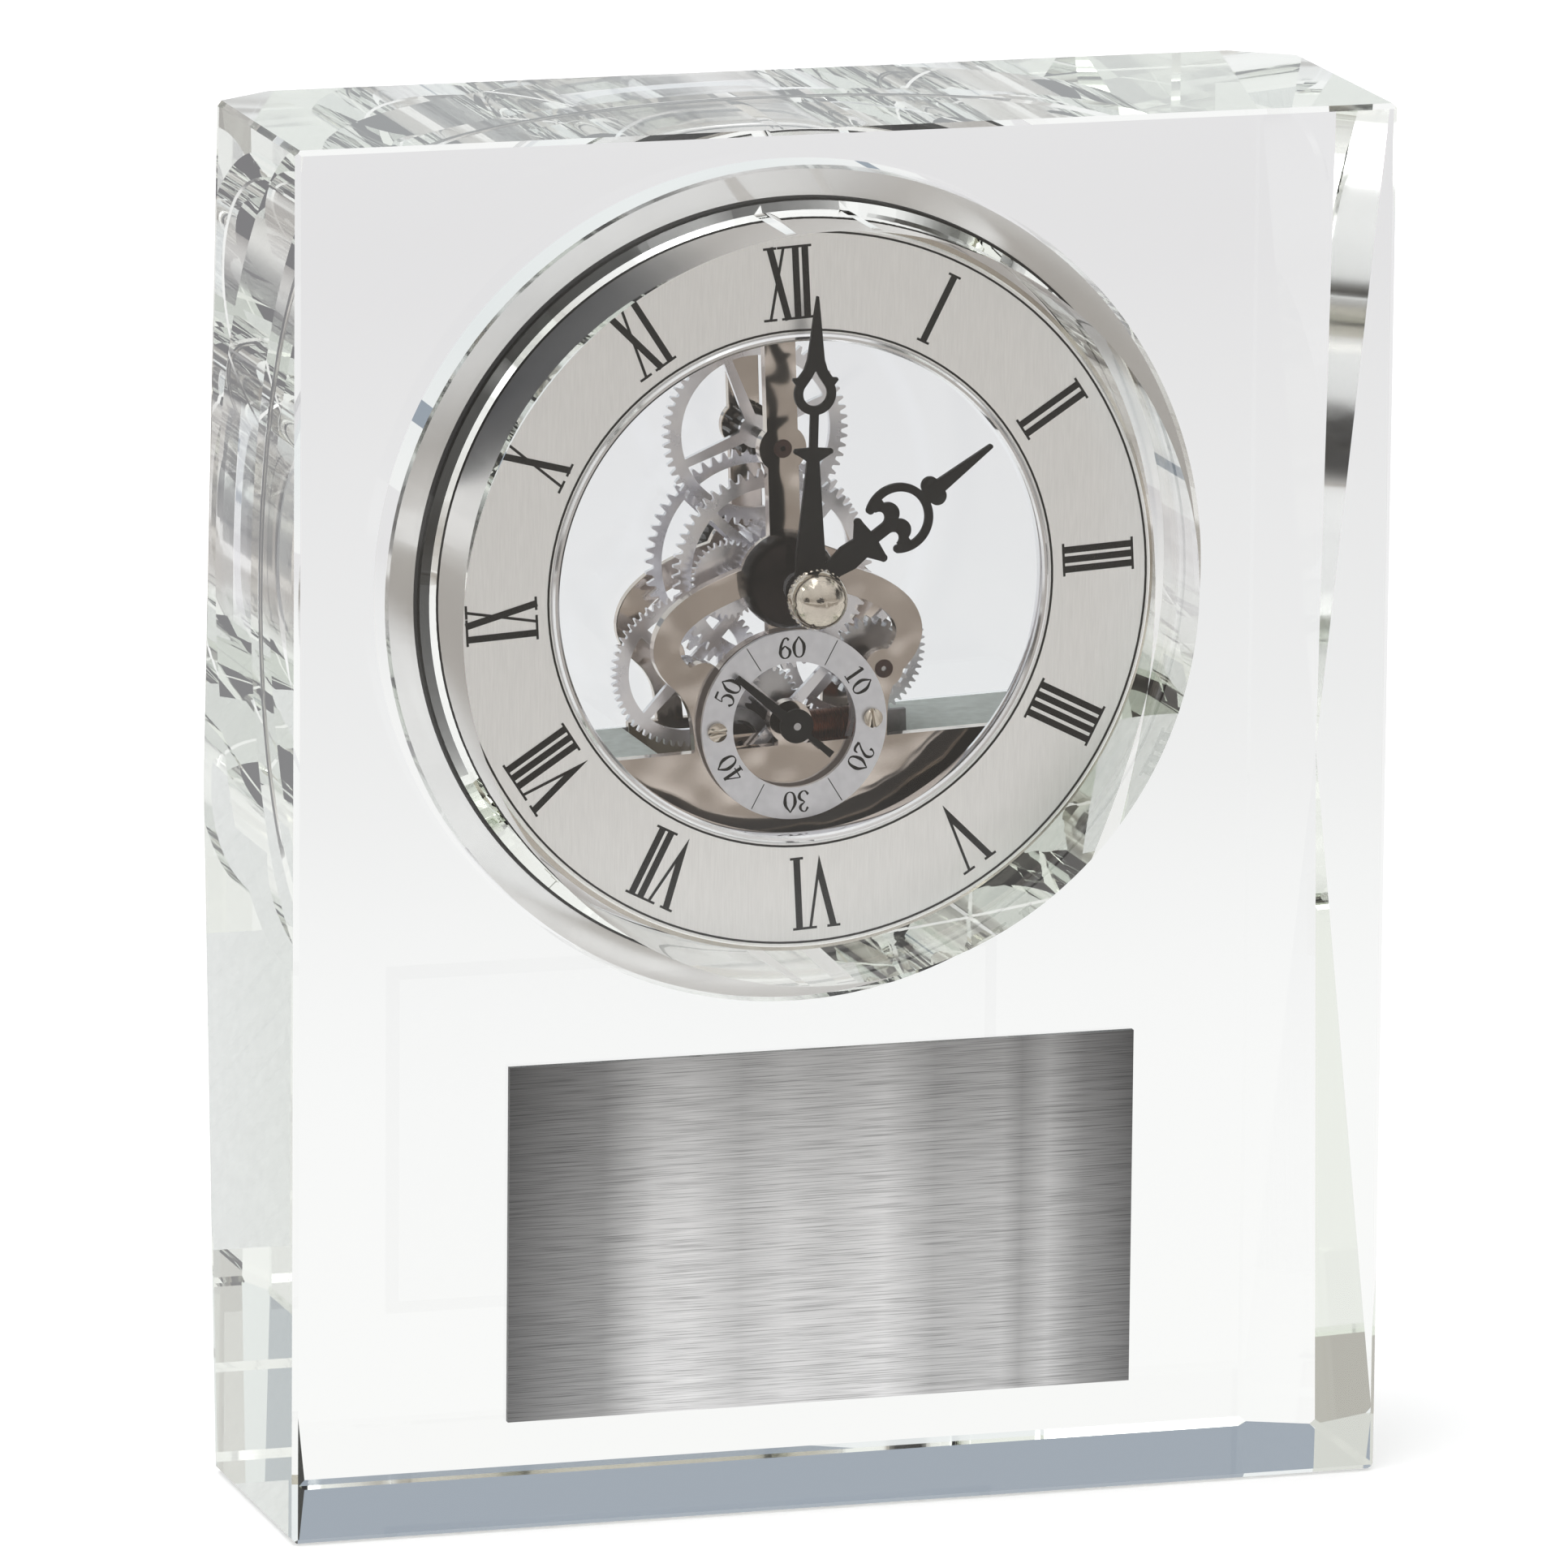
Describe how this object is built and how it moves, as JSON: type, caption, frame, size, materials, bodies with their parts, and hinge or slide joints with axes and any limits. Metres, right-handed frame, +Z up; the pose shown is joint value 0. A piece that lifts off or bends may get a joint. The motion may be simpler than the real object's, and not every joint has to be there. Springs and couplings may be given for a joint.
{
  "type": "crystal desk clock",
  "caption": "Upright crystal block with a round skeleton quartz clock set in a blind bore from the back: ring dial, Roman numerals, pierced hands and plates, meshed wheels, blank metal plate.",
  "frame": {"origin": "centre of the flat face that the block stands on, at half the block's thickness", "axes": "+X to the right seen from the front, +Y to the back, +Z up"},
  "size_m": [0.1334, 0.0521, 0.165],
  "materials": {
    "crystal": "polished optical crystal",
    "lens": "clear polished lens",
    "brushed_plate": "brushed along its width",
    "tape": "white adhesive film",
    "chrome_trim": "polished",
    "screw_steel": "polished heads",
    "plate_nickel": "polished nickel plate",
    "satin_dial": "satin, fine vertical grain",
    "black_ink": "printed ink",
    "black_hands": "gloss black",
    "dark_nickel": "polished black nickel",
    "wheel_nickel": "satin silver plate",
    "arbor_steel": "turned and polished",
    "brown_jewel": "polished bearing",
    "housing_plastic": "moulded",
    "gasket": "soft moulded ring",
    "black_plastic": "moulded, fine texture",
    "cell_steel": "nickel plated",
    "contact_gold": "gold flashed",
    "board": "solder mask",
    "motor_iron": "stamped lamination",
    "copper": "enamelled wire",
    "magnet": "moulded magnet"
  },
  "bodies": {
    "case": {"crystal_block": "crystal", "name_plate": "brushed_plate", "plate_tape": "tape", "seat_gasket": "gasket", "case_ring": "plate_nickel", "rear_bezel": "chrome_trim", "rear_lens": "lens", "dial_plate": "satin_dial", "dial_rim": "chrome_trim", "dial_markings": "black_ink", "front_plate": "plate_nickel", "rear_plate": "plate_nickel", "dial_posts": "plate_nickel", "plate_pillars": "plate_nickel", "pillar_screws": "screw_steel", "centre_boss": "dark_nickel", "front_bushes": "brown_jewel", "rear_bushes": "brown_jewel", "seconds_ring": "satin_dial", "ring_screws": "screw_steel", "motor_housing": "housing_plastic", "housing_cover": "black_plastic", "battery": "cell_steel", "battery_contacts": "contact_gold", "circuit_board": "board", "quartz_crystal": "cell_steel", "stator": "motor_iron", "coil_core": "motor_iron", "coil_bobbin": "black_plastic", "motor_coil": "copper", "motor_bridge": "plate_nickel", "motion_stud": "arbor_steel"},
    "door": {"battery_door": "black_plastic"},
    "seconds": {"seconds_wheel": "wheel_nickel", "seconds_arbor": "arbor_steel", "seconds_hand": "black_hands"},
    "reduction": {"reduction_wheel": "wheel_nickel", "reduction_arbor": "arbor_steel"},
    "rotor": {"rotor": "magnet"},
    "transfer": {"transfer_wheel": "wheel_nickel", "transfer_arbor": "arbor_steel"},
    "idler": {"idler_wheel": "wheel_nickel"},
    "upper": {"upper_wheel": "wheel_nickel", "upper_arbor": "dark_nickel"},
    "minute": {"centre_arbor": "arbor_steel", "centre_wheel": "wheel_nickel", "cannon_pinion": "arbor_steel", "minute_hand": "black_hands", "hand_nut": "chrome_trim", "setting_knob": "black_plastic"},
    "motion": {"motion_wheel": "wheel_nickel"},
    "hour": {"hour_wheel": "wheel_nickel", "hour_hand": "black_hands"}
  },
  "joints": [
    {"name": "seconds_spin", "type": "hinge", "parent": "case", "child": "seconds", "pos_m": [0.00066, 0.0015, 0.08951], "axis": [0, 1, 0], "continuous": true},
    {"name": "reduction_spin", "type": "hinge", "parent": "case", "child": "reduction", "pos_m": [-0.01015, 0.0015, 0.0948], "axis": [0, 1, 0], "continuous": true},
    {"name": "rotor_spin", "type": "hinge", "parent": "case", "child": "rotor", "pos_m": [-0.00422, 0.0015, 0.08629], "axis": [0, 1, 0], "continuous": true},
    {"name": "transfer_spin", "type": "hinge", "parent": "case", "child": "transfer", "pos_m": [0.01215, 0.0015, 0.09536], "axis": [0, 1, 0], "continuous": true},
    {"name": "idler_spin", "type": "hinge", "parent": "case", "child": "idler", "pos_m": [0, 0.0015, 0.1068], "axis": [0, 1, 0], "continuous": true},
    {"name": "upper_spin", "type": "hinge", "parent": "case", "child": "upper", "pos_m": [-0.0006, 0.0015, 0.12249], "axis": [0, 1, 0], "continuous": true},
    {"name": "minute_spin", "type": "hinge", "parent": "case", "child": "minute", "pos_m": [0, 0.0015, 0.1068], "axis": [0, 1, 0], "continuous": true},
    {"name": "motion_spin", "type": "hinge", "parent": "case", "child": "motion", "pos_m": [-0.00598, 0.0015, 0.10627], "axis": [0, 1, 0], "continuous": true},
    {"name": "hour_spin", "type": "hinge", "parent": "case", "child": "hour", "pos_m": [0, 0.0015, 0.1068], "axis": [0, 1, 0], "continuous": true},
    {"name": "door_slide", "type": "slide", "parent": "case", "child": "door", "axis": [-0.9993, 0, -0.0384], "range_m": [0, 0.012]}
  ],
  "couplings": [
    {"joint": "reduction_spin", "follows": "seconds_spin", "ratio": -5},
    {"joint": "rotor_spin", "follows": "seconds_spin", "ratio": 30},
    {"joint": "transfer_spin", "follows": "seconds_spin", "ratio": -0.5},
    {"joint": "idler_spin", "follows": "seconds_spin", "ratio": 0.2},
    {"joint": "upper_spin", "follows": "seconds_spin", "ratio": -0.083333},
    {"joint": "minute_spin", "follows": "seconds_spin", "ratio": 0.016667},
    {"joint": "motion_spin", "follows": "seconds_spin", "ratio": -0.0055556},
    {"joint": "hour_spin", "follows": "seconds_spin", "ratio": 0.0013889}
  ]
}
